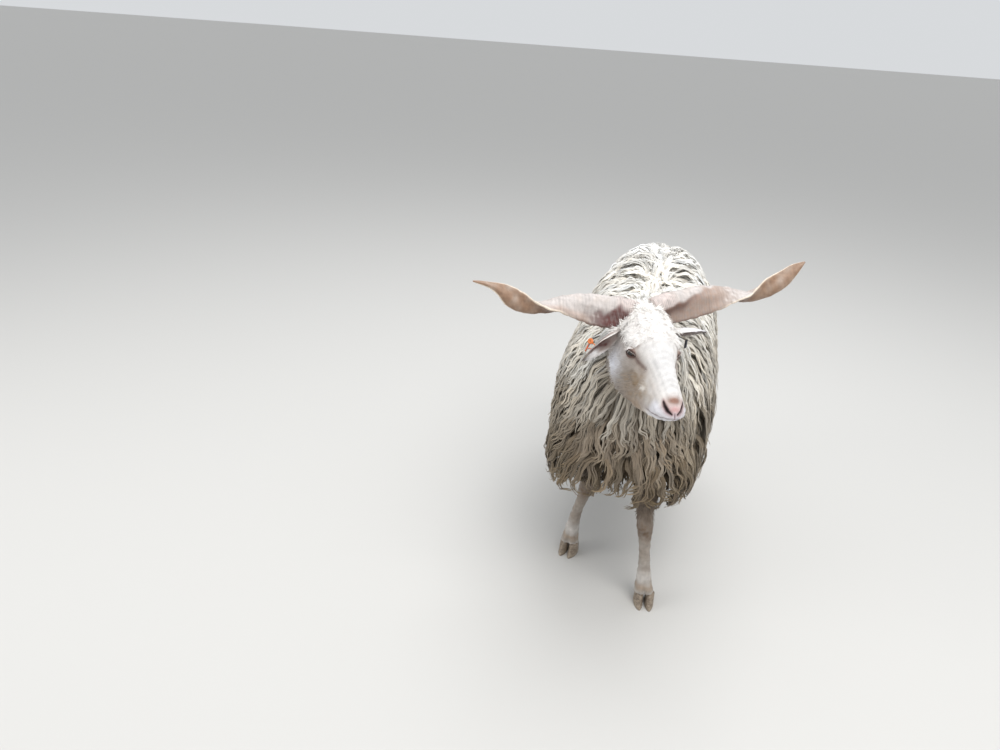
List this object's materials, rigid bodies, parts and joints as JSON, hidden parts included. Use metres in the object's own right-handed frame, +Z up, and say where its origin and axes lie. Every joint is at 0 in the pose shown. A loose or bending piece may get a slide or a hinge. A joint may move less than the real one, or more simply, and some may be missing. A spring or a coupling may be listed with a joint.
{
  "type": "sheep figure",
  "caption": "Life-size still figure of a long-woolled sheep standing on all fours, head turned, with open corkscrew horns spread sideways and ear tags.",
  "frame": {"origin": "middle of the bounding box in x and y, at floor level, z = 0 at the soles of the hooves", "axes": "+Z up; the body lies along Y with the head towards -Y; +X is the animal's left"},
  "size_m": [0.6536, 1.0343, 0.841],
  "materials": {
    "fleece": "dirty cream wool in long wavy locks, dull",
    "neck_wool": "greyer, darker wool in long wavy locks, dull",
    "tail_wool": "cream wool, dull",
    "face_hair": "short off-white hair with grey-brown sides, matte",
    "ear_hair": "short pinkish-white hair, matte",
    "leg_hair": "short grey-brown hair, matte",
    "foot_hair": "short pale grey-beige hair, matte",
    "horn": "cream-tan horn with fine cross rings, semi-matte; plastic stands for horn",
    "hoof": "grey-tan horn of the hooves, matte; plastic stands for horn",
    "eye": "very dark brown, wet gloss; plastic stands for the eyeball",
    "orange_plastic": "orange moulded plastic, half gloss",
    "grey_plastic": "dark grey moulded plastic, matte"
  },
  "bodies": {
    "root": {"trunk": "fleece", "neck": "neck_wool", "head": "face_hair", "tail": "tail_wool", "eye_left": "eye", "eye_right": "eye", "horn_left": "horn", "horn_right": "horn", "ear_left": "ear_hair", "ear_right": "ear_hair", "leg_front_left_upper": "leg_hair", "leg_front_left_lower": "foot_hair", "leg_front_right_upper": "leg_hair", "leg_front_right_lower": "foot_hair", "leg_hind_left_upper": "leg_hair", "leg_hind_left_lower": "foot_hair", "leg_hind_right_upper": "leg_hair", "leg_hind_right_lower": "foot_hair", "claw_front_left_outer": "hoof", "claw_front_left_inner": "hoof", "claw_front_right_outer": "hoof", "claw_front_right_inner": "hoof", "claw_hind_left_outer": "hoof", "claw_hind_left_inner": "hoof", "claw_hind_right_outer": "hoof", "claw_hind_right_inner": "hoof", "tag_right_plate": "orange_plastic", "tag_right_button": "orange_plastic", "tag_left": "grey_plastic"}
  },
  "joints": []
}
